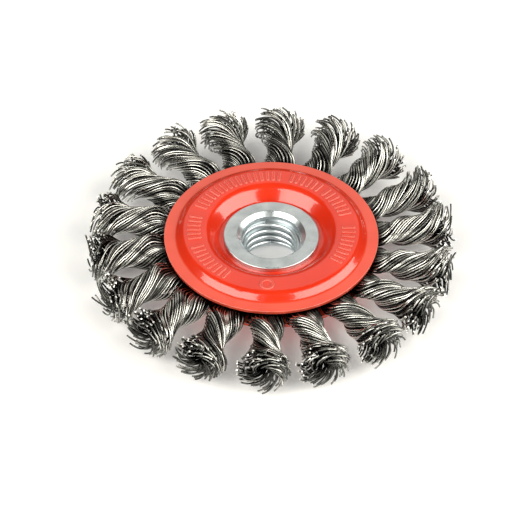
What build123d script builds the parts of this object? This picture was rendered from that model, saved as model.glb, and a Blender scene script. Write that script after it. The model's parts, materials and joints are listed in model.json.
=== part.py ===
from build123d import *

import math
import os

# A twist-knot wire wheel, 102 mm across, with a 5/8-11 threaded hub.
# Everything is in millimetres. +Z is the spin axis and points to the front, where the
# riveted collar is. The origin is the centre of the hub's rear seat, which the wheel rests on.

# The whole wheel
WHEEL_RADIUS = 50.8
MID_PLANE_HEIGHT = 9.0

# The hub nut
HEX_ACROSS_FLATS = 22.2
HEX_BEVEL_START_RADIUS = 10.7
HEX_BEVEL_ANGLE = 30
BEYOND_HEX_RADIUS = 15.0
SEAT_RADIUS = 10.4
SEAT_STEP = 0.4
THREAD_BORE_RADIUS = 7.94
LEAD_IN = 0.5
SLEEVE_RADIUS = 10.6
COLLAR_RADIUS = 13.24
COLLAR_THICKNESS = 1.35
COLLAR_EDGE_ROUND = 0.35
COUNTERBORE_RADIUS = 8.3
COUNTERBORE_DEPTH = 2.6
MOUTH_RADIUS = 9.5
MOUTH_BEVEL_DEPTH = 1.1

# The two pressed cover plates
SHEET = 1.0
COVER_RADIUS = 29.5
COVER_BORE_RADIUS = 10.65
FLOOR_OUTER_RADIUS = 14.4
CREST_INNER_RADIUS = 17.8
CREST_OUTER_RADIUS = 24.3
RIM_INNER_RADIUS = 26.3
CREST_LEVEL = 5.2
RIM_CREASE_LEVEL = 3.4
RIM_EDGE_LEVEL = 3.1
SHEET_BENDS = (1.2, 3.5, 2.5, 1.2)

# The raised marks on the front cover's crest: each row of ticks as start angle and count
MARK_RING_RADIUS = 21.3
MARK_LENGTH = 3.6
MARK_WIDTH = 0.7
MARK_HEIGHT = 0.3
MARK_ROOT = 0.25
MARK_PITCH_DEG = 4.5
MARK_ROWS = ((-34, 9), (17, 7), (51.5, 6), (84, 17), (167.5, 6), (199.5, 9))
RING_MARK_ANGLE = 267
RING_MARK_OUTER_RADIUS = 1.9
RING_MARK_INNER_RADIUS = 1.35

# The knot holder: the flat disc between the covers that the wires are looped through
HOLDER_THICKNESS = 1.5
HOLDER_RADIUS = 25.6
HOLDER_HOLE_RADIUS = 2.1
HOLE_CIRCLE_RADIUS = 22.0

# The knots
KNOT_COUNT = 18
FIRST_KNOT_ANGLE = 7.0
LOOP_RADIUS = 1.9
LOOP_HALF_HEIGHT = 3.2
LEG_GAP = 0.12
HOLLOW_MOUTH_RADIUS = 2.4
HOLLOW_END_RADIUS = 0.7
HOLLOW_DEPTH = 4.0
OUTLINE_POINTS = 24

# A knot's cross-section at each distance from the wheel's axis: distance, half width,
# half thickness, depth of the groove between the legs, turn about the knot's own axis in degrees
KNOT_STATIONS = (
    (22.0, 1.9, 3.2, 0.0, 0),
    (23.4, 2.3, 3.1, 0.0, 0),
    (24.8, 3.2, 2.4, 0.0, 0),
    (26.2, 4.0, 2.05, 0.3, 0),
    (28.2, 4.45, 2.0, 0.5, 0),
    (30.2, 4.8, 2.0, 0.5, 0),
    (31.4, 5.0, 2.3, 0.6, -12),
    (32.8, 4.95, 3.1, 0.7, -36),
    (34.6, 4.6, 3.6, 0.8, -64),
    (36.6, 4.2, 3.8, 0.8, -94),
    (38.8, 4.0, 3.8, 0.8, -124),
    (41.0, 4.4, 4.1, 0.8, -153),
    (43.5, 5.3, 5.0, 0.7, -184),
    (46.0, 6.2, 6.0, 0.6, -212),
    (48.6, 6.7, 6.6, 0.4, -238),
    (50.8, 5.6, 5.5, 0.2, -260),
)

# Each knot stands a little off square, as hand-fed knots do: degrees about its own hole
KNOT_LEANS_DEG = (1.5, -1.0, 1.0, 0.0, 0.0, 0.0, -1.5, 0.0, 1.5,
                  0.0, 1.5, 0.0, -0.5, 1.5, 0.0, 1.5, 1.0, 0.0)

# Heights that follow from the above
FLOOR_LEVEL = HOLDER_THICKNESS / 2 + SHEET
COLLAR_SEAT_HEIGHT = MID_PLANE_HEIGHT + FLOOR_LEVEL
HUB_HEIGHT = COLLAR_SEAT_HEIGHT + COLLAR_THICKNESS
HEX_HEIGHT = MID_PLANE_HEIGHT - FLOOR_LEVEL
HEX_BEVEL_RISE = math.tan(math.radians(HEX_BEVEL_ANGLE)) * (BEYOND_HEX_RADIUS - HEX_BEVEL_START_RADIUS)


def save(builder, name):
    """Label one finished piece and write it to its own STEP file."""
    builder.part.label = name
    export_step(builder.part, f"parts/{name}.step")


def knot_outline(half_width, half_thickness, groove, turn):
    """Points round an oval with a groove down each broad side, between the bundle's two legs."""
    points = []
    for step in range(OUTLINE_POINTS):
        angle = 2 * math.pi * step / OUTLINE_POINTS
        along = math.cos(angle - math.radians(turn))
        across = math.sin(angle - math.radians(turn))
        reach = 1 / math.hypot(along / half_width, across / half_thickness) - groove * across ** 8
        points.append((reach * math.cos(angle), reach * math.sin(angle)))
    return points


os.makedirs("parts", exist_ok=True)

# Hub nut: a hexagon behind the covers, a sleeve through them and a collar riveted over in front
with BuildPart() as hub_nut:
    with BuildSketch(Plane.XY.offset(SEAT_STEP)):
        RegularPolygon(HEX_ACROSS_FLATS / 2, 6, major_radius=False)
    extrude(amount=HEX_HEIGHT - SEAT_STEP)
    with BuildSketch(Plane.XZ):
        with BuildLine():
            Polyline(
                (0, SEAT_STEP),
                (HEX_BEVEL_START_RADIUS, SEAT_STEP),
                (BEYOND_HEX_RADIUS, SEAT_STEP + HEX_BEVEL_RISE),
                (BEYOND_HEX_RADIUS, HEX_HEIGHT),
                (0, HEX_HEIGHT),
                close=True,
            )
        make_face()
    revolve(axis=Axis.Z, mode=Mode.INTERSECT)
    Cylinder(SEAT_RADIUS, SEAT_STEP, align=(Align.CENTER, Align.CENTER, Align.MIN))
    with BuildSketch(Plane.XY.offset(HEX_HEIGHT)):
        Circle(SLEEVE_RADIUS)
    extrude(amount=HUB_HEIGHT - HEX_HEIGHT)
    with BuildSketch(Plane.XY.offset(COLLAR_SEAT_HEIGHT)):
        Circle(COLLAR_RADIUS)
    extrude(amount=COLLAR_THICKNESS)
    fillet(hub_nut.edges().filter_by(GeomType.CIRCLE).sort_by(Axis.Z)[-1], COLLAR_EDGE_ROUND)
    with BuildSketch(Plane.XZ):
        with BuildLine():
            Polyline(
                (0, 0),
                (THREAD_BORE_RADIUS + LEAD_IN, 0),
                (THREAD_BORE_RADIUS, LEAD_IN),
                (THREAD_BORE_RADIUS, HUB_HEIGHT - COUNTERBORE_DEPTH),
                (COUNTERBORE_RADIUS, HUB_HEIGHT - COUNTERBORE_DEPTH),
                (COUNTERBORE_RADIUS, HUB_HEIGHT - MOUTH_BEVEL_DEPTH),
                (MOUTH_RADIUS, HUB_HEIGHT),
                (0, HUB_HEIGHT),
                close=True,
            )
        make_face()
    revolve(axis=Axis.Z, mode=Mode.SUBTRACT)
save(hub_nut, "hub_nut")

# The pressed sheet that both covers are made from, with its dish facing the front
with BuildPart() as pressing:
    with BuildSketch(Plane.XZ):
        with BuildLine() as sheet_line:
            Polyline(
                (COVER_BORE_RADIUS, MID_PLANE_HEIGHT + FLOOR_LEVEL),
                (FLOOR_OUTER_RADIUS, MID_PLANE_HEIGHT + FLOOR_LEVEL),
                (CREST_INNER_RADIUS, MID_PLANE_HEIGHT + CREST_LEVEL),
                (CREST_OUTER_RADIUS, MID_PLANE_HEIGHT + CREST_LEVEL),
                (RIM_INNER_RADIUS, MID_PLANE_HEIGHT + RIM_CREASE_LEVEL),
                (COVER_RADIUS, MID_PLANE_HEIGHT + RIM_EDGE_LEVEL),
            )
            for corner, bend in zip(sheet_line.vertices().sort_by(Axis.X)[1:-1], SHEET_BENDS):
                fillet(corner, bend)
            offset(amount=SHEET, side=Side.RIGHT)
        make_face()
    revolve(axis=Axis.Z)

# Front cover, with its ring of raised marks
with BuildPart() as front_cover:
    add(pressing.part)
    with BuildSketch(Plane.XY.offset(MID_PLANE_HEIGHT + CREST_LEVEL - MARK_ROOT)):
        for start, count in MARK_ROWS:
            with PolarLocations(MARK_RING_RADIUS, count, start, (count - 1) * MARK_PITCH_DEG, endpoint=True):
                SlotOverall(MARK_LENGTH, MARK_WIDTH)
        with PolarLocations(MARK_RING_RADIUS, 1, RING_MARK_ANGLE):
            Circle(RING_MARK_OUTER_RADIUS)
            Circle(RING_MARK_INNER_RADIUS, mode=Mode.SUBTRACT)
    extrude(amount=MARK_ROOT + MARK_HEIGHT)
save(front_cover, "front_cover")

# Rear cover: the same pressing, turned over and left plain
with BuildPart() as rear_cover:
    add(pressing.part)
    mirror(about=Plane.XY.offset(MID_PLANE_HEIGHT), mode=Mode.REPLACE)
save(rear_cover, "rear_cover")

# Knot holder
with BuildPart() as knot_holder:
    with BuildSketch(Plane.XY.offset(MID_PLANE_HEIGHT - HOLDER_THICKNESS / 2)):
        Circle(HOLDER_RADIUS)
        Circle(COVER_BORE_RADIUS, mode=Mode.SUBTRACT)
        with PolarLocations(HOLE_CIRCLE_RADIUS, KNOT_COUNT, FIRST_KNOT_ANGLE):
            Circle(HOLDER_HOLE_RADIUS, mode=Mode.SUBTRACT)
    extrude(amount=HOLDER_THICKNESS)
save(knot_holder, "knot_holder")

# One knot, lying along +X with its mid-plane at z = 0: the loop that threads the holder,
# the two legs side by side under the cover rims, the left-hand twist and the flared tip
with BuildPart() as knot:
    for distance, half_width, half_thickness, groove, turn in KNOT_STATIONS:
        with BuildSketch(Plane.YZ.offset(distance)):
            with BuildLine():
                Spline(*knot_outline(half_width, half_thickness, groove, turn), periodic=True)
            make_face()
    loft()
    with BuildSketch(Plane.XY.offset(-HOLDER_THICKNESS / 2 - LEG_GAP)):
        Circle(HOLDER_RADIUS + 2 * LEG_GAP)
    extrude(amount=HOLDER_THICKNESS + 2 * LEG_GAP, mode=Mode.SUBTRACT)
    with Locations((HOLE_CIRCLE_RADIUS, 0, 0)):
        Cylinder(LOOP_RADIUS, 2 * LOOP_HALF_HEIGHT)
    with Locations((WHEEL_RADIUS - HOLLOW_DEPTH / 2, 0, 0)):
        Cone(HOLLOW_END_RADIUS, HOLLOW_MOUTH_RADIUS, HOLLOW_DEPTH, rotation=(0, 90, 0), mode=Mode.SUBTRACT)

# The same knot at every hole of the holder
for index in range(KNOT_COUNT):
    hole_angle = FIRST_KNOT_ANGLE + index * 360 / KNOT_COUNT
    hole = Location((HOLE_CIRCLE_RADIUS, 0, 0))
    lean = hole * Location((0, 0, 0), (0, 0, KNOT_LEANS_DEG[index])) * hole.inverse()
    place = Location((0, 0, MID_PLANE_HEIGHT), (0, 0, hole_angle)) * lean
    with BuildPart() as placed_knot:
        add(knot.part.moved(place))
    save(placed_knot, f"knot_{index + 1:02d}")
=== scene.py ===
import json
import math

import bpy
import numpy as np
from mathutils import Matrix, Vector


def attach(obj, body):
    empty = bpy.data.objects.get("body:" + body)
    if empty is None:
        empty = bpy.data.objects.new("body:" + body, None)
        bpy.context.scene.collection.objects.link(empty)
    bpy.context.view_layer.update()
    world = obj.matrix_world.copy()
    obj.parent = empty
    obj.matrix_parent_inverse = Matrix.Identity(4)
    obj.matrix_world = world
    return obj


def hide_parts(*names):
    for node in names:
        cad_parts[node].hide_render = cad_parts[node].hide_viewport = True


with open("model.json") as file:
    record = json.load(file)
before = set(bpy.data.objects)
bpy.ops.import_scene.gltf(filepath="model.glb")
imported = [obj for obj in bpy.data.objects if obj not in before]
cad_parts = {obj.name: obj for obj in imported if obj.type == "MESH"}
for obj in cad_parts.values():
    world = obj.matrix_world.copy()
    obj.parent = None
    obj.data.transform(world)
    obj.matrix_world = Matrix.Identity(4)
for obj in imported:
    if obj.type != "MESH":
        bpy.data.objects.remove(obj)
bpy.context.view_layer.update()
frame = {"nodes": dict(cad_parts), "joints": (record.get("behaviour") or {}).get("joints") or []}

# The wheel in the row frame, in metres: +Z is the spin axis, and the wheel lies on z = 0. The knots'
# middle plane is the height of their hinges, the crease is where a cover's dish meets its flat rim,
# and each knot leans sideways about its hinge as its CAD solid does.
MM = 0.001
MID_PLANE = frame["joints"][0]["pos_m"][2]
RIM_CREASE = 26.3 * MM
KNOT_LEANS_DEG = (1.5, -1.0, 1.0, 0.0, 0.0, 0.0, -1.5, 0.0, 1.5,
                  0.0, 1.5, 0.0, -0.5, 1.5, 0.0, 1.5, 1.0, 0.0)

# The wires of a knot, in mm: layers from the middle out, as share of the bundle's reach and count
WIRE_RADIUS = 0.24
WIRE_SIDES = 6
WIRE_LAYERS = ((0.36, 11), (0.57, 16), (0.77, 23), (0.97, 29))
INNER_SHARE = WIRE_LAYERS[0][0]
SKIN_SHARE = WIRE_LAYERS[-1][0]
WIRE_START = 25.2
BUNDLE_STEPS = 20
FLARE_STEPS = 15

# The exponent of the superellipse that the bundle's section is: 2 is an ellipse, more is squarer.
# The groove between the two legs follows a power of the sine: the higher, the narrower the groove.
SQUARENESS = 2.6
GROOVE_POWER = 8

# The flare at a knot's tip, in mm and degrees; a pair is (for the innermost wires, change to the skin)
BEND_START = (47.1, -6.3)
BEND_RADIUS = (2.4, 3.2)
BEND_ANGLE = (74, -42)
TIP_REACH = (5.6, 1.15)
TIP_SWIRL = (72, -34)
FLARE_TWIST_PER_MM = 7
SWIRL_POWER = 1.3
SHORTEST_STRAIGHT = 0.4

# How far the tips may reach from the knot's middle, in mm, and how much more they spread sideways than up
TIP_LIMIT = 6.85
TIP_SPREAD = 0.07

# Unevenness between wires, in mm and degrees, the share of wires that stand out as strays, and the
# seed of the first knot's random draws
BEND_START_SPREAD = 0.25
BEND_ANGLE_SPREAD = 5
TIP_REACH_SPREAD = 0.32
TIP_SWIRL_SPREAD = 6
SWAY_SPREAD = 0.09
BEARING_SPREAD = 0.12
SHARE_SPREAD = 0.012
STRAY_SHARE = 0.07
STRAY_BEND = 14
STRAY_REACH = (0.3, 0.9)
FIRST_SEED = 1000

# How bright the wires are, as shares: the darkest single wire, the painted shade that changes from the
# buried wires to the skin's, the end of the flare, and the painted shade at the base of the knot, which
# comes out of the covers' shade between two distances from the wheel's axis in mm
DARKEST_WIRE = 0.30
BURIED_SHARES = (0.72, 0.95)
BURIED_BRIGHTNESS = (0.04, 1.0)
FLARE_BRIGHTNESS = 0.85
BASE_SHADE_FROM_TO = (29.5, 32.0)
BASE_BRIGHTNESS = (0.3, 1.0)

# Painted shade on the sides of a wire that face the bundle's middle, where its neighbours shade it, over
# groove_depth, and how much of it is left towards the tip, between two distances from the wheel's axis in
# mm
GROOVE_SHADE_DEPTHS = (-0.6, 0.2)
GROOVE_SHADE_SHARES = (0.0, 0.9)
GROOVE_SHADE_FADES_FROM_TO = (42.0, 48.0)
GROOVE_SHADE_LEFT = (1.0, 0.4)

# How a knot's bundle changes along its length: distance from the wheel's axis in mm, half
# width, half thickness, depth of the groove between the two legs, turn in degrees
BUNDLE = np.array((
    (25.0, 3.1, 1.5, 0.0, 0),
    (28.2, 4.4, 1.65, 0.4, 0),
    (30.2, 5.05, 1.75, 0.6, -6),
    (31.4, 5.3, 2.1, 0.7, -17),
    (32.8, 5.3, 2.75, 0.7, -33),
    (34.6, 4.9, 3.3, 0.7, -56),
    (36.6, 4.25, 3.5, 0.5, -82),
    (38.8, 3.9, 3.6, 0.4, -111),
    (41.0, 3.9, 3.8, 0.2, -140),
    (43.5, 4.0, 3.9, 0.1, -173),
    (46.0, 4.0, 3.9, 0.0, -204),
    (50.0, 4.0, 3.9, 0.0, -246),
))


def smooth(values, passes=2):
    """Rounds off the corners that come from straight interpolation between the stations."""
    for _ in range(passes):
        inner = (values[:-2] + 2 * values[1:-1] + values[2:]) / 4
        values = np.concatenate([values[:1], inner, values[-1:]])
    return values


def wire_path(share, bearing, draw, stray):
    """Centreline of one wire leg, in mm: x along the knot, y across it and z up.

    share is how far out in the bundle the wire runs, from 0 at its middle to 1 at its skin.
    Inner wires run on further and bend out more sharply, so that the tip is a rosette with
    a hollow middle; the skin's wires bend out early and gently.
    """
    def by_depth(value_and_change):
        value, change = value_and_change
        return value + change * (share - INNER_SHARE) / (SKIN_SHARE - INNER_SHARE)

    bend_start = by_depth(BEND_START) + draw.normal(0, BEND_START_SPREAD)
    bend_radius = by_depth(BEND_RADIUS)
    bend_angle = by_depth(BEND_ANGLE) + draw.normal(0, BEND_ANGLE_SPREAD)
    tip_reach = by_depth(TIP_REACH) + draw.normal(0, TIP_REACH_SPREAD)
    if stray:
        bend_angle += STRAY_BEND
        tip_reach += draw.uniform(*STRAY_REACH)
    bend_angle = math.radians(bend_angle)
    swirl = math.radians(by_depth(TIP_SWIRL) + draw.normal(0, TIP_SWIRL_SPREAD))

    distance = np.linspace(WIRE_START, bend_start, BUNDLE_STEPS)
    width, thickness, groove, turn = (
        np.interp(distance, BUNDLE[:, 0], BUNDLE[:, column]) for column in range(1, 5)
    )
    along, across = math.cos(bearing), math.sin(bearing)
    fullness = abs(along / width) ** SQUARENESS + abs(across / thickness) ** SQUARENESS
    reach = share * (fullness ** (-1 / SQUARENESS) - groove * across ** GROOVE_POWER)
    turn = np.radians(turn)

    arc = np.linspace(0, 1, FLARE_STEPS + 1)[1:]
    arc_length = bend_radius * bend_angle
    arc_rise = bend_radius * (1 - math.cos(bend_angle))
    straight = max(SHORTEST_STRAIGHT, (tip_reach - reach[-1] - arc_rise) / math.sin(bend_angle))
    travel = arc * (arc_length + straight)
    turned = np.minimum(travel / bend_radius, bend_angle)
    beyond = np.maximum(travel - arc_length, 0)
    flare_distance = bend_start + bend_radius * np.sin(turned) + beyond * math.cos(bend_angle)
    flare_reach = reach[-1] + bend_radius * (1 - np.cos(turned)) + beyond * math.sin(bend_angle)
    flare_reach = np.minimum(flare_reach, TIP_LIMIT)
    twist = math.radians(FLARE_TWIST_PER_MM) * (flare_distance - bend_start)
    flare_turn = turn[-1] - twist - swirl * arc ** SWIRL_POWER

    distance = np.concatenate([distance, flare_distance])
    reach = smooth(np.concatenate([reach, flare_reach]))
    turn = smooth(np.concatenate([turn, flare_turn]))
    angle = bearing + turn
    sway = draw.normal(0, SWAY_SPREAD, 2) * np.linspace(0, 1, len(distance))[:, None] ** 2
    path = np.stack([distance, reach * np.cos(angle), reach * np.sin(angle)], axis=1)
    path[:, 1:] += sway
    path[BUNDLE_STEPS:, 1] *= 1 + TIP_SPREAD * arc
    return path


def tube(path, radius, sides):
    """Rings of vertices round a path, by rotation-minimising frames."""
    tangent = np.gradient(path, axis=0)
    tangent /= np.linalg.norm(tangent, axis=1)[:, None]
    normal = np.cross(tangent[0], (0.3, 0.2, 1.0))
    turn = np.arange(sides) * 2 * math.pi / sides
    rings = []
    for point, direction in zip(path, tangent):
        normal = normal - direction * normal.dot(direction)
        normal /= np.linalg.norm(normal)
        side = np.cross(direction, normal)
        rings.append(point + radius * (np.cos(turn)[:, None] * normal + np.sin(turn)[:, None] * side))
    return np.concatenate(rings)


def groove_depth(path, skin):
    """How far each vertex of a wire's skin faces the bundle's middle: 1 straight in, -1 straight out."""
    centre = np.repeat(path, WIRE_SIDES, axis=0)
    outward = centre * (0, 1, 1)
    outward /= np.linalg.norm(outward, axis=1)[:, None]
    return -((skin - centre) * outward).sum(axis=1) / WIRE_RADIUS


def wire_tones(path, skin, share, draw):
    """How bright each vertex of a wire is, from 0 black to 1 bright.

    Each wire has a random tone of its own; the rest is painted shade, darkening buried wires, the stretch
    beside the covers and the grooves between wires.
    """
    # Painted shade: wires deep in the bundle are darkened, easing off towards the end of the flare
    buried = np.interp(share, BURIED_SHARES, BURIED_BRIGHTNESS)
    flare = np.linspace(buried, FLARE_BRIGHTNESS, FLARE_STEPS)
    painted_shade = np.concatenate([np.full(BUNDLE_STEPS, buried), flare])
    # Painted shade beside the covers, fading out between the two distances of BASE_SHADE_FROM_TO
    painted_shade *= np.interp(path[:, 0], BASE_SHADE_FROM_TO, BASE_BRIGHTNESS)
    # Painted shade in the grooves between wires, on the sides that face the bundle's middle, less of it
    # towards the tip
    groove_shade = np.interp(groove_depth(path, skin), GROOVE_SHADE_DEPTHS, GROOVE_SHADE_SHARES)
    groove_shade *= np.repeat(np.interp(path[:, 0], GROOVE_SHADE_FADES_FROM_TO, GROOVE_SHADE_LEFT), WIRE_SIDES)
    cleanness = DARKEST_WIRE + (1 - DARKEST_WIRE) * draw.uniform()
    return cleanness * np.repeat(painted_shade, WIRE_SIDES) * (1 - groove_shade)


def knot_mesh(name, seed):
    """All the wires of one knot in one mesh, along +X, in mm, with the tips' cut ends in slot 1."""
    draw = np.random.default_rng(seed)
    steps = BUNDLE_STEPS + FLARE_STEPS
    ring = np.arange(WIRE_SIDES)
    start = np.arange(steps - 1)[:, None] * WIRE_SIDES
    quads = np.stack([start + ring, start + (ring + 1) % WIRE_SIDES], axis=-1)
    quads = np.concatenate([quads, quads[..., ::-1] + WIRE_SIDES], axis=-1).reshape(-1, 4)
    phase = draw.normal(0, BEARING_SPREAD)
    vertices, faces, tones, cut_ends = [], [], [], []
    for share, count in WIRE_LAYERS:
        layer_turn = draw.uniform(0, 2 * math.pi)
        for wire in range(count):
            place = (wire + draw.normal(0, BEARING_SPREAD)) / count
            bearing = layer_turn + 2 * math.pi * place + phase
            own_share = share + draw.normal(0, SHARE_SPREAD)
            path = wire_path(own_share, bearing, draw, draw.uniform() < STRAY_SHARE)
            base = len(tones)
            skin = tube(path, WIRE_RADIUS, WIRE_SIDES)
            vertices.append(skin)
            faces.extend((quads + base).tolist())
            cut_ends.append(len(faces))
            faces.append((base + (steps - 1) * WIRE_SIDES + ring).tolist())
            faces.append((base + ring[::-1]).tolist())
            tones.extend(wire_tones(path, skin, share, draw).tolist())
    mesh = bpy.data.meshes.new(name)
    mesh.from_pydata(np.concatenate(vertices).tolist(), [], faces)
    wire_tone = mesh.attributes.new("wire_tone", "FLOAT", "POINT")
    wire_tone.data.foreach_set("value", tones)
    mesh.polygons.foreach_set("use_smooth", [True] * len(mesh.polygons))
    for face in cut_ends:
        mesh.polygons[face].material_index = 1
        mesh.polygons[face].use_smooth = False
    return mesh


def shader(name):
    """A new node material, with its node tree and its Principled shader."""
    material = bpy.data.materials.new(name)
    material.use_nodes = True
    tree = material.node_tree
    return material, tree, tree.nodes["Principled BSDF"]


def noise(tree, scale, detail=3.0, roughness=0.5):
    """A noise texture in object coordinates, scale in cycles per metre."""
    coordinates = tree.nodes.new("ShaderNodeTexCoord")
    texture = tree.nodes.new("ShaderNodeTexNoise")
    texture.inputs["Scale"].default_value = scale
    texture.inputs["Detail"].default_value = detail
    texture.inputs["Roughness"].default_value = roughness
    tree.links.new(coordinates.outputs["Object"], texture.inputs["Vector"])
    return texture.outputs["Fac"]


def ramp(tree, factor, stops):
    """A colour ramp over factor, stops as (position, (r, g, b)) pairs."""
    node = tree.nodes.new("ShaderNodeValToRGB")
    elements = node.color_ramp.elements
    while len(elements) < len(stops):
        elements.new(0.5)
    for element, (position, colour) in zip(elements, stops):
        element.position = position
        element.color = (*colour, 1.0)
    tree.links.new(factor, node.inputs["Fac"])
    return node.outputs["Color"]


def spread(tree, factor, low, high):
    """factor's 0 to 1 stretched to low to high."""
    node = tree.nodes.new("ShaderNodeMapRange")
    node.inputs["To Min"].default_value = low
    node.inputs["To Max"].default_value = high
    tree.links.new(factor, node.inputs["Value"])
    return node.outputs["Result"]


def mix(tree, factor, first, second):
    """first where factor is 0 and second where it is 1."""
    node = tree.nodes.new("ShaderNodeMix")
    node.data_type = "RGBA"
    tree.links.new(factor, node.inputs["Factor"])
    tree.links.new(first, node.inputs["A"])
    if isinstance(second, tuple):
        node.inputs["B"].default_value = second
    else:
        tree.links.new(second, node.inputs["B"])
    return node.outputs["Result"]


def rounded_normal(tree, edge):
    """The surface's normal with its edges rounded to the radius edge, in metres."""
    node = tree.nodes.new("ShaderNodeBevel")
    node.samples = 6
    node.inputs["Radius"].default_value = edge
    return node.outputs["Normal"]


def bump(tree, bsdf, height, strength, distance, edge):
    """Feeds height into the shader as bump over edges rounded to edge; both lengths in metres."""
    node = tree.nodes.new("ShaderNodeBump")
    node.inputs["Strength"].default_value = strength
    node.inputs["Distance"].default_value = distance
    tree.links.new(height, node.inputs["Height"])
    tree.links.new(rounded_normal(tree, edge), node.inputs["Normal"])
    tree.links.new(node.outputs["Normal"], bsdf.inputs["Normal"])
    tree.links.new(node.outputs["Normal"], bsdf.inputs["Coat Normal"])


def edge_share(tree, edge):
    """0 on open surface and up to 0.75 on edges and creases, over a width of edge in metres; it places
    the enamel's painted highlight.
    """
    surface = tree.nodes.new("ShaderNodeNewGeometry")
    agreement = tree.nodes.new("ShaderNodeVectorMath")
    agreement.operation = "DOT_PRODUCT"
    tree.links.new(rounded_normal(tree, edge), agreement.inputs[0])
    tree.links.new(surface.outputs["Normal"], agreement.inputs[1])
    share = tree.nodes.new("ShaderNodeMapRange")
    share.inputs["From Min"].default_value = 0.99
    share.inputs["From Max"].default_value = 0.90
    share.inputs["To Max"].default_value = 0.75
    tree.links.new(agreement.outputs["Value"], share.inputs["Value"])
    return share.outputs["Result"]


def rim_share(tree):
    """0 on the dish of a cover and 1 on its flat rim, by the distance from the spin axis; it places the
    enamel's painted light on the rim.
    """
    place = tree.nodes.new("ShaderNodeTexCoord")
    flat = tree.nodes.new("ShaderNodeVectorMath")
    flat.operation = "MULTIPLY"
    flat.inputs[1].default_value = (1, 1, 0)
    tree.links.new(place.outputs["Object"], flat.inputs[0])
    radius = tree.nodes.new("ShaderNodeVectorMath")
    radius.operation = "LENGTH"
    tree.links.new(flat.outputs["Vector"], radius.inputs[0])
    on_rim = tree.nodes.new("ShaderNodeMapRange")
    on_rim.inputs["From Min"].default_value = RIM_CREASE - 0.3 * MM
    on_rim.inputs["From Max"].default_value = RIM_CREASE + 0.5 * MM
    tree.links.new(radius.outputs["Value"], on_rim.inputs["Value"])
    return on_rim.outputs["Result"]


def red_enamel():
    """Gloss red, with painted light: a shade paler on the flat rim of the covers, as if lit more, and a
    painted highlight over sharp edges.
    """
    material, tree, bsdf = shader("red_enamel")
    dish = ramp(tree, noise(tree, 90, 4), ((0.35, (0.63, 0.022, 0.003)), (0.65, (0.70, 0.030, 0.006))))
    # Painted light: the flat rim gets a paler red, as the face turned up to the lamps
    rim = ramp(tree, noise(tree, 90, 4), ((0.35, (0.66, 0.058, 0.026)), (0.65, (0.73, 0.074, 0.036))))
    paint = mix(tree, rim_share(tree), dish, rim)
    # Painted highlight: edges and creases turn pale pink, standing for glints on the marks and the rim's
    # edge
    edge_highlight = mix(tree, edge_share(tree, 0.25 * MM), paint, (0.95, 0.36, 0.28, 1.0))
    tree.links.new(edge_highlight, bsdf.inputs["Base Color"])
    tree.links.new(spread(tree, noise(tree, 700, 2), 0.16, 0.26), bsdf.inputs["Roughness"])
    bsdf.inputs["Coat Weight"].default_value = 0.7
    bsdf.inputs["Coat Roughness"].default_value = 0.05
    bump(tree, bsdf, noise(tree, 420, 2), 0.10, 0.4 * MM, 0.25 * MM)
    return material


def zinc_plate():
    """Bright zinc with a bluish cast, mottled like a dipped or plated part."""
    material, tree, bsdf = shader("zinc_plate")
    colour = ramp(tree, noise(tree, 260, 5), ((0.3, (0.53, 0.58, 0.60)), (0.7, (0.76, 0.81, 0.83))))
    tree.links.new(colour, bsdf.inputs["Base Color"])
    bsdf.inputs["Metallic"].default_value = 1.0
    tree.links.new(spread(tree, noise(tree, 900, 4), 0.22, 0.38), bsdf.inputs["Roughness"])
    bump(tree, bsdf, noise(tree, 1500, 3), 0.10, 0.2 * MM, 0.2 * MM)
    return material


def steel_wire():
    """Drawn wire, each one of its own grey, with painted shade where it lies deep in the bundle, beside
    the covers and in the grooves between wires.
    """
    material, tree, bsdf = shader("steel_wire")
    # wire_tone holds each wire's random tone times the painted shade
    tone = tree.nodes.new("ShaderNodeAttribute")
    tone.attribute_name = "wire_tone"
    stained = tree.nodes.new("ShaderNodeMath")
    stained.operation = "MULTIPLY"
    tree.links.new(tone.outputs["Fac"], stained.inputs[0])
    tree.links.new(spread(tree, noise(tree, 500, 4), 0.50, 1.30), stained.inputs[1])
    greys = ((0.0, (0.004, 0.004, 0.004)), (0.3, (0.12, 0.12, 0.11)), (0.75, (0.95, 0.94, 0.89)))
    tree.links.new(ramp(tree, stained.outputs[0], greys), bsdf.inputs["Base Color"])
    bsdf.inputs["Metallic"].default_value = 1.0
    tree.links.new(spread(tree, noise(tree, 1200, 3), 0.16, 0.30), bsdf.inputs["Roughness"])
    return material


def cut_steel():
    """The bright cut ends of the wires."""
    material, tree, bsdf = shader("cut_steel")
    colour = ramp(tree, noise(tree, 2500, 2), ((0.3, (0.70, 0.70, 0.66)), (0.7, (0.95, 0.95, 0.90))))
    tree.links.new(colour, bsdf.inputs["Base Color"])
    bsdf.inputs["Metallic"].default_value = 1.0
    bsdf.inputs["Roughness"].default_value = 0.35
    return material


def plain_steel():
    """The bare sheet of the knot holder."""
    material, tree, bsdf = shader("plain_steel")
    colour = ramp(tree, noise(tree, 300, 5), ((0.3, (0.22, 0.22, 0.21)), (0.7, (0.38, 0.38, 0.36))))
    tree.links.new(colour, bsdf.inputs["Base Color"])
    bsdf.inputs["Metallic"].default_value = 1.0
    bsdf.inputs["Roughness"].default_value = 0.42
    return material


def dress(node, material):
    """Gives a CAD node that material as its only one."""
    data = frame["nodes"][node].data
    data.materials.clear()
    data.materials.append(material)


red = red_enamel()
zinc = zinc_plate()
wire_metal = steel_wire()
wire_cut = cut_steel()
dress("front_cover", red)
dress("rear_cover", red)
dress("hub_nut", zinc)
dress("knot_holder", plain_steel())

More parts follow.
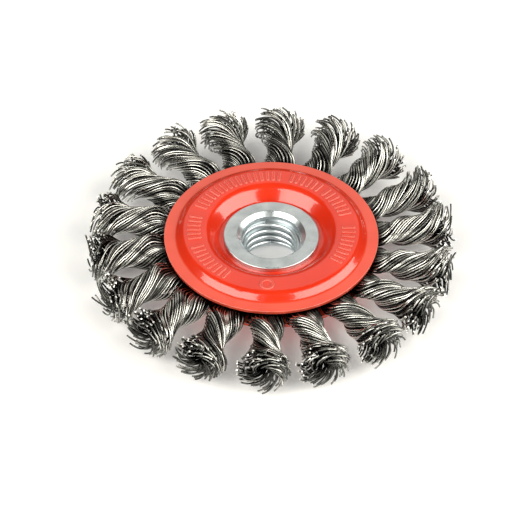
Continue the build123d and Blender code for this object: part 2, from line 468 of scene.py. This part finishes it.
# The wires of every knot, standing for its CAD solid. The hinge gives the place of its hole.
for index, (joint, lean) in enumerate(zip(frame["joints"], KNOT_LEANS_DEG)):
    node = joint["child"]
    mesh = knot_mesh(f"{node}_wires", FIRST_SEED + index)
    mesh.materials.append(wire_metal)
    mesh.materials.append(wire_cut)
    hole = Vector(joint["pos_m"])
    hole_angle = math.atan2(hole.y, hole.x)
    place = (
        Matrix.Translation(hole)
        @ Matrix.Rotation(hole_angle + math.radians(lean), 4, "Z")
        @ Matrix.Translation((-math.hypot(hole.x, hole.y), 0, 0))
        @ Matrix.Scale(MM, 4)
    )
    mesh.transform(place)
    wires = bpy.data.objects.new(f"{node}_wires", mesh)
    bpy.context.scene.collection.objects.link(wires)
    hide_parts(node)
    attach(wires, node)


# The 5/8-11 thread, in mm, and its ridge's section as (height in pitches, share of the full depth)
THREAD_PITCH = 25.4 / 11
THREAD_ROOT_RADIUS = 7.98
THREAD_CREST_RADIUS = 6.75
THREAD_FROM_TO = (1.1, 9.3)
THREAD_STEPS_PER_TURN = 72
THREAD_FADE_STEPS = 24
THREAD_RIDGE = ((-0.44, 0.0), (-0.125, 1.0), (0.125, 1.0), (0.44, 0.0))


def hub_thread():
    """The thread as a closed right-hand ridge that stands in from the bore's wall."""
    low, high = THREAD_FROM_TO
    steps = int(THREAD_STEPS_PER_TURN * (high - low) / THREAD_PITCH)
    corners = len(THREAD_RIDGE)
    vertices, faces = [], []
    for step in range(steps + 1):
        turns = step / THREAD_STEPS_PER_TURN
        angle = 2 * math.pi * turns
        height = low + THREAD_PITCH * turns
        depth = min(1.0, (step + 1) / THREAD_FADE_STEPS, (steps - step + 1) / THREAD_FADE_STEPS)
        for offset, share in THREAD_RIDGE:
            radius = THREAD_ROOT_RADIUS - (THREAD_ROOT_RADIUS - THREAD_CREST_RADIUS) * share * depth
            level = height + offset * THREAD_PITCH
            vertices.append((radius * math.cos(angle), radius * math.sin(angle), level))
    for step in range(steps):
        for side in range(corners):
            a = corners * step + side
            b = corners * step + (side + 1) % corners
            faces.append((a, b, b + corners, a + corners))
    first_ring = range(corners)
    last_ring = range(corners * steps, corners * (steps + 1))
    faces.append(tuple(reversed(first_ring)))
    faces.append(tuple(last_ring))
    mesh = bpy.data.meshes.new("hub_thread")
    mesh.from_pydata(vertices, [], faces)
    mesh.transform(Matrix.Scale(MM, 4))
    mesh.materials.append(zinc)
    mesh.polygons.foreach_set("use_smooth", [True] * len(mesh.polygons))
    thread = bpy.data.objects.new("hub_thread", mesh)
    bpy.context.scene.collection.objects.link(thread)
    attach(thread, "wheel")


hub_thread()

# Floor: a white sweep that glows a little, like a light table
FLOOR_HALF = 3.0
floor_mesh = bpy.data.meshes.new("floor")
floor_corners = [(FLOOR_HALF * x, FLOOR_HALF * y, 0) for x, y in ((-1, -1), (1, -1), (1, 1), (-1, 1))]
floor_mesh.from_pydata(floor_corners, [], [(0, 1, 2, 3)])
floor = bpy.data.objects.new("floor", floor_mesh)
bpy.context.scene.collection.objects.link(floor)
floor_material, floor_tree, floor_bsdf = shader("white_floor")
floor_bsdf.inputs["Base Color"].default_value = (0.92, 0.92, 0.93, 1.0)
floor_bsdf.inputs["Roughness"].default_value = 0.7
floor_bsdf.inputs["Emission Color"].default_value = (1.0, 0.99, 0.97, 1.0)
floor_bsdf.inputs["Emission Strength"].default_value = 0.14
floor_mesh.materials.append(floor_material)

# Light: two broad soft boxes overhead, left and right, a weak one behind and one low in front, in a
# dim room
WARM_WHITE = (1.0, 0.98, 0.91)
LIGHT_DISTANCE = 0.8
world = bpy.data.worlds.new("surround")
bpy.context.scene.world = world
world.use_nodes = True
world.node_tree.nodes["Background"].inputs["Color"].default_value = (*WARM_WHITE, 1.0)
world.node_tree.nodes["Background"].inputs["Strength"].default_value = 0.07


def soft_box(name, towards, across, size, radiance):
    """A flat light at LIGHT_DISTANCE in the direction towards, with its long side along across."""
    away = Vector(towards).normalized()
    sideways = Vector(across) - away * away.dot(Vector(across))
    sideways.normalize()
    upright = away.cross(sideways)
    data = bpy.data.lights.new(name, "AREA")
    data.shape = "RECTANGLE"
    data.size, data.size_y = size
    data.energy = radiance * math.pi * size[0] * size[1]
    data.color = WARM_WHITE
    light = bpy.data.objects.new(name, data)
    light.matrix_world = Matrix((
        (sideways.x, upright.x, away.x, LIGHT_DISTANCE * away.x),
        (sideways.y, upright.y, away.y, LIGHT_DISTANCE * away.y),
        (sideways.z, upright.z, away.z, LIGHT_DISTANCE * away.z),
        (0, 0, 0, 1),
    ))
    bpy.context.scene.collection.objects.link(light)


soft_box("left_box", (-0.58, -0.41, 0.70), (-0.73, 0.63, -0.24), (0.76, 0.46), 5.2)
soft_box("right_box", (0.74, -0.21, 0.645), (0.60, 0.92, -0.39), (0.98, 0.46), 5.0)
soft_box("back_box", (0.0, 0.72, 0.69), (1, 0, 0), (0.9, 0.5), 0.80)
soft_box("front_box", (0.10, -0.94, 0.28), (1, 0.1, 0), (0.9, 0.3), 3.3)
bpy.context.scene.view_settings.view_transform = "Standard"

# Camera: the photograph's view, 45 degrees above the wheel, through a long lens
camera_data = bpy.data.cameras.new("camera")
camera = bpy.data.objects.new("camera", camera_data)
bpy.context.scene.collection.objects.link(camera)
bpy.context.scene.camera = camera
camera_data.sensor_width = 36.0
camera_data.lens = 162.2
camera_data.clip_start = 10 * MM
elevation = math.radians(44.99)
roll = math.radians(0.356)
distance = 650 * MM
shift_left = 2.81 * MM
shift_down = 5.10 * MM
back = Vector((0, -math.cos(elevation), math.sin(elevation)))
level = Vector((1, 0, 0))
above = Vector((0, math.sin(elevation), math.cos(elevation)))
right = math.cos(roll) * level + math.sin(roll) * above
up = -math.sin(roll) * level + math.cos(roll) * above
position = Vector((0, 0, MID_PLANE)) + distance * back - shift_left * right - shift_down * up
camera.matrix_world = Matrix((
    (right.x, up.x, back.x, position.x),
    (right.y, up.y, back.y, position.y),
    (right.z, up.z, back.z, position.z),
    (0, 0, 0, 1),
))
